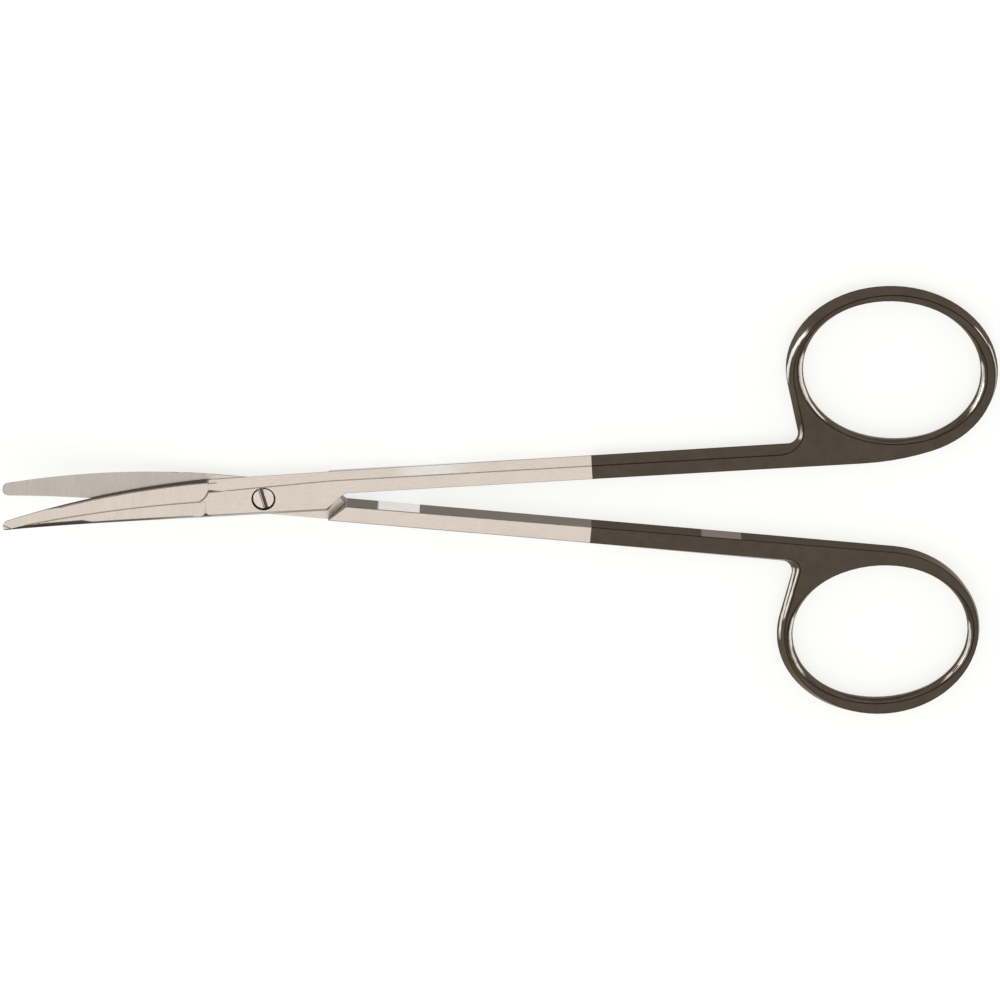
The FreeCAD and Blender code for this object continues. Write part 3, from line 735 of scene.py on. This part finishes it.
def widen_scoop(mesh, turn):
    """Draw the upper edge of the scoop near the tip inwards along the facet above it."""
    shape = bmesh.new()
    shape.from_mesh(mesh)
    along, across = directions(turn)
    for vertex in shape.verts:
        place = vertex.co.dot(along) / MM
        if not within(place, SCOOP):
            continue
        leans = [(face.normal.dot(across), face.normal.z) for face in vertex.link_faces]
        on_scoop = any(out < SCOOP_OUT and within(up, SCOOP_UP) for out, up in leans)
        on_facet = any(within(out, FACET_OUT) and up > FACET_UP for out, up in leans)
        if on_scoop and on_facet:
            shares = [(place - start) / (full - start) for start, full in SCOOP_RAMPS]
            vertex.co += across * (SCOOP_WIDENING * min(1.0, *shares))
    shape.to_mesh(mesh)
    shape.free()


def mark_ridges(mesh, settings, node, turn):
    """Weight the edges to ease; slivers and steps narrower than the easing stay as they are."""
    shape = bmesh.new()
    shape.from_mesh(mesh)
    weight = shape.edges.layers.float.new("bevel_weight_edge")
    unturned = Matrix.Rotation(-turn, 3, "Z")
    for edge in shape.edges:
        if not edge.is_manifold:
            continue
        along, across, height = unturned @ (edge.verts[0].co + edge.verts[1].co) / 2 / MM
        run_out = (
            within(along, RUN_OUT_ALONG)
            and within(across, RUN_OUT_ACROSS)
            and height > RUN_OUT_HEIGHT
        )
        seam = (
            within(along, SEAM_ALONG)
            and across < SEAM_ACROSS
            and all(face.normal.z > SEAM_LEVEL for face in edge.link_faces)
        )
        seat = math.hypot(along, across) < SEAT_RADIUS and node != "pivot_screw"
        if seam or seat:
            continue
        broad = min(thickness(face) for face in edge.link_faces) > settings.edges.width / 2
        if edge.calc_face_angle() > settings.edges.angle and (broad or run_out):
            edge[weight] = 1.0
    shape.to_mesh(mesh)
    shape.free()


def pick(piece):
    bpy.ops.object.select_all(action="DESELECT")
    piece.select_set(True)
    bpy.context.view_layer.objects.active = piece


def eased_copy(settings, node, name, turn=0.0, cut=None):
    """A merged copy of a solid with its ground edges eased; cut is a plane to split faces at.

    It has two empty material slots, the first for its faces and the second for its eased edges.
    """
    mesh = frame["nodes"][node].data.copy()
    mesh.name = name
    mesh.materials.clear()
    mesh.materials.append(None)
    mesh.materials.append(None)
    for face in mesh.polygons:
        face.material_index = 0
    piece = bpy.data.objects.new(name, mesh)
    bpy.context.scene.collection.objects.link(piece)
    pick(piece)
    bpy.ops.mesh.customdata_custom_splitnormals_clear()
    bpy.ops.object.mode_set(mode="EDIT")
    bpy.ops.mesh.select_all(action="SELECT")
    bpy.ops.mesh.remove_doubles(threshold=MERGE_WITHIN)
    bpy.ops.mesh.dissolve_degenerate(threshold=MERGE_WITHIN)
    bpy.ops.mesh.select_all(action="SELECT")
    bpy.ops.mesh.dissolve_limited(angle_limit=FLAT_WITHIN)
    if cut:
        bpy.ops.mesh.select_all(action="SELECT")
        bpy.ops.mesh.bisect(plane_co=cut[0], plane_no=cut[1])
    bpy.ops.object.mode_set(mode="OBJECT")
    if node == "front_half":
        widen_scoop(piece.data, turn)
    mark_ridges(piece.data, settings, node, turn)
    bevel = piece.modifiers.new("eased_edges", "BEVEL")
    bevel.width = settings.edges.width
    bevel.segments = EASING_SEGMENTS
    bevel.limit_method = "WEIGHT"
    bevel.use_clamp_overlap = False
    bevel.material = 1
    bpy.ops.object.modifier_apply(modifier=bevel.name)
    bpy.ops.object.shade_smooth_by_angle(angle=SMOOTH_WITHIN)
    flat = piece.modifiers.new("flat_faces", "WEIGHTED_NORMAL")
    flat.mode = "FACE_AREA"
    flat.weight = LARGE_FACE_WEIGHT
    flat.keep_sharp = True
    bpy.ops.object.modifier_apply(modifier=flat.name)
    return piece


def rest_turn(node):
    """How far a half is turned at rest: half of the way back to closed, one half to each side."""
    closed = frame["joints"][0]["range_deg"][0]
    turn = math.radians(-closed / 2)
    return turn if node == "front_half" else -turn


class SCISSORS_OT_finish_halves(bpy.types.Operator):
    """Ease the edges of both halves, finish them in satin steel and coat their handles"""

    bl_idname = "scissors.finish_halves"
    bl_label = "Finish the halves"

    def execute(self, context):
        settings = context.scene.scissors
        steel, coat = settings.steel, settings.coat
        for node, body, slot, inner_up in (
            ("front_half", "front", "front_steel", False),
            ("rear_half", "rear", "rear_steel", True),
        ):
            turn = rest_turn(node)
            along = directions(turn)[0]
            plane = (along * coat.start, along)
            piece = eased_copy(settings, node, f"{node}_finished", turn, plane)
            materials = piece.data.materials
            materials[0] = satin_steel(settings, f"{slot}_satin", turn, inner_up)
            materials[1] = edge_polish(f"{slot}_edge", steel.edge)
            materials.append(dark_coat(settings, f"{slot}_coat", node, turn))
            materials.append(edge_polish(f"{slot}_coat_edge", coat.edge))
            for face in piece.data.polygons:
                if face.center.dot(along) > coat.start:
                    face.material_index += 2
            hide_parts(node)
            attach(piece, body)
        return {"FINISHED"}


class SCISSORS_OT_finish_screw(bpy.types.Operator):
    """Ease the edges of the pivot screw and finish it in turned steel"""

    bl_idname = "scissors.finish_screw"
    bl_label = "Finish the screw"

    def execute(self, context):
        settings = context.scene.scissors
        piece = eased_copy(settings, "pivot_screw", "pivot_screw_finished")
        top = max(vertex.co.z for vertex in piece.data.vertices)
        piece.data.materials[0] = screw_steel(settings, top)
        piece.data.materials[1] = edge_polish("screw_edge", settings.steel.ground)
        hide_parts("pivot_screw")
        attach(piece, "rear")
        return {"FINISHED"}


# --- studio -------------------------------------------------------------------------------------


# The surroundings' strength as light and as seen, and the share of the floor's colour that takes
# light and that glows.
WORLD_LIGHT = 0.7
WORLD_SEEN = 1.0
FLOOR_SHARE = 0.32
FLOOR_GLOW = 0.76

FLOOR_SIZE = 4.0
FLOOR_DROP = 0.02 * MM
CARD_PLACE = (-6.0 * MM, -34.0 * MM, 0.3 * MM)
CARD_SIZE = (76.0 * MM, 56.0 * MM)
CARD_COLOUR = (0.30, 0.27, 0.24)
MATT_ROUGHNESS = 0.9
SENSOR_WIDTH = 36.0
CLIP_START = 0.01

# Each lamp: its name, place, size, brightness in whites, and whether the steel mirrors it.
LAMP_AIM = (36.0 * MM, 0.0, 0.0)
LAMPS = (
    ("overhead", (0.04, -0.22, 0.58), (0.5, 0.5), 0.6, False),
    ("left_side", (-0.42, 0.05, 0.16), (0.30, 0.12), 3.0, True),
    ("right_side", (0.52, 0.05, 0.16), (0.30, 0.12), 3.0, True),
)


def seen_ray(tree):
    """1 for camera, glossy and transmission rays, which show the white surroundings."""
    path = tree.nodes.new("ShaderNodeLightPath")
    total = path.outputs["Is Camera Ray"]
    for name in ("Is Glossy Ray", "Is Transmission Ray"):
        larger = tree.nodes.new("ShaderNodeMath")
        larger.operation = "MAXIMUM"
        tree.links.new(total, larger.inputs[0])
        tree.links.new(path.outputs[name], larger.inputs[1])
        total = larger.outputs[0]
    return total


def white_world(context, studio):
    """Even white surroundings, which light the scissors less than they look."""
    world = bpy.data.worlds.new("white_surroundings")
    world.use_nodes = True
    tree = world.node_tree
    background = tree.nodes["Background"]
    background.inputs["Color"].default_value = (*studio.floor, 1.0)
    strength = tree.nodes.new("ShaderNodeMapRange")
    tree.links.new(seen_ray(tree), strength.inputs["Value"])
    strength.inputs["To Min"].default_value = WORLD_LIGHT
    strength.inputs["To Max"].default_value = WORLD_SEEN
    tree.links.new(strength.outputs["Result"], background.inputs["Strength"])
    context.scene.world = world


def matt_plane(name, size, place, base):
    """A matt plane of one colour, and its shader."""
    bpy.ops.object.select_all(action="DESELECT")
    bpy.ops.mesh.primitive_plane_add(size=size, location=place)
    plane = bpy.context.active_object
    plane.name = name
    material = bpy.data.materials.new(name)
    material.use_nodes = True
    shader = material.node_tree.nodes["Principled BSDF"]
    shader.inputs["Base Color"].default_value = (*base, 1.0)
    shader.inputs["Roughness"].default_value = MATT_ROUGHNESS
    shader.inputs["Specular IOR Level"].default_value = 0.0
    plane.data.materials.append(material)
    return plane, shader


def white_floor(studio):
    """A plain floor in the plane of the scissors' flat underside, which glows as white as seen."""
    base = [FLOOR_SHARE * part for part in studio.floor]
    floor, shader = matt_plane("floor", FLOOR_SIZE, (0.0, 0.0, -FLOOR_DROP), base)
    axis = frame["record"]["mounts"][0]["axis"]
    floor.rotation_euler = (0.0, math.atan2(-axis[0], -axis[2]), 0.0)
    shader.inputs["Emission Color"].default_value = (*studio.floor, 1.0)
    tree = shader.id_data
    glow = tree.nodes.new("ShaderNodeMath")
    glow.operation = "MULTIPLY"
    glow.inputs[1].default_value = FLOOR_GLOW
    tree.links.new(seen_ray(tree), glow.inputs[0])
    tree.links.new(glow.outputs[0], shader.inputs["Emission Strength"])


def dark_card():
    """A dark card flat on the floor that only the polished steel's reflections show."""
    card, _ = matt_plane("dark_card", 1.0, CARD_PLACE, CARD_COLOUR)
    card.scale = (*CARD_SIZE, 1.0)
    card.visible_camera = False
    card.visible_diffuse = False
    card.visible_shadow = False
    card.visible_transmission = False


def lamp(name, place, size, brightness, mirrored):
    """A soft rectangular lamp as bright as that many whites."""
    light = bpy.data.lights.new(name, "AREA")
    light.shape = "RECTANGLE"
    light.size, light.size_y = size
    light.energy = brightness * math.pi * size[0] * size[1]
    made = bpy.data.objects.new(name, light)
    made.visible_glossy = mirrored
    made.location = place
    made.rotation_euler = (Vector(LAMP_AIM) - Vector(place)).to_track_quat("-Z", "Y").to_euler()
    bpy.context.scene.collection.objects.link(made)


def picture_camera(context, studio):
    """A camera above the scissors that leans towards the upper ring, rolled a little."""
    camera = bpy.data.objects.new("camera", bpy.data.cameras.new("camera"))
    camera.data.sensor_width = SENSOR_WIDTH
    camera.data.lens = SENSOR_WIDTH * studio.distance / studio.view_width
    camera.data.clip_start = CLIP_START
    tilt = studio.tilt
    roll = studio.roll
    right = Vector((1.0, 0.0, 0.0))
    up = Vector((0.0, math.cos(tilt), -math.sin(tilt)))
    back = right.cross(up)
    rolled_right = right * math.cos(roll) + up * math.sin(roll)
    rolled_up = up * math.cos(roll) - right * math.sin(roll)
    matrix = Matrix((rolled_right, rolled_up, back)).transposed().to_4x4()
    matrix.translation = Vector(studio.target) + back * studio.distance
    camera.matrix_world = matrix
    context.scene.collection.objects.link(camera)
    context.scene.camera = camera


class SCISSORS_OT_set_studio(bpy.types.Operator):
    """Put the scissors on a pale floor in soft light, with a camera like the picture's"""

    bl_idname = "scissors.set_studio"
    bl_label = "Set the studio"

    def execute(self, context):
        studio = context.scene.scissors.studio
        white_world(context, studio)
        white_floor(studio)
        for row in LAMPS:
            lamp(*row)
        dark_card()
        picture_camera(context, studio)
        context.scene.view_settings.view_transform = "Standard"
        return {"FINISHED"}


# --- panel --------------------------------------------------------------------------------------


class SCISSORS_PT_sidebar(bpy.types.Panel):
    bl_idname = "SCISSORS_PT_sidebar"
    bl_label = "Surgical scissors"
    bl_space_type = "VIEW_3D"
    bl_region_type = "UI"
    bl_category = "Scissors"

    def draw(self, context):
        settings = context.scene.scissors
        for title, group in (
            ("Edges", settings.edges),
            ("Steel", settings.steel),
            ("Coat", settings.coat),
            ("Studio", settings.studio),
        ):
            box = self.layout.box()
            box.label(text=title)
            for name in group.__annotations__:
                box.prop(group, name)
        column = self.layout.column()
        for operator in OPERATORS:
            column.operator(operator.bl_idname)


OPERATORS = (SCISSORS_OT_finish_halves, SCISSORS_OT_finish_screw, SCISSORS_OT_set_studio)
CLASSES = (
    EdgeSettings,
    SteelSettings,
    CoatSettings,
    StudioSettings,
    ScissorsSettings,
    *OPERATORS,
    SCISSORS_PT_sidebar,
)


def register():
    for item in CLASSES:
        bpy.utils.register_class(item)
    bpy.types.Scene.scissors = PointerProperty(type=ScissorsSettings)


def unregister():
    del bpy.types.Scene.scissors
    for item in reversed(CLASSES):
        bpy.utils.unregister_class(item)


def main():
    register()
    bpy.ops.scissors.finish_halves()
    bpy.ops.scissors.finish_screw()
    bpy.ops.scissors.set_studio()


if __name__ == "__main__":
    main()
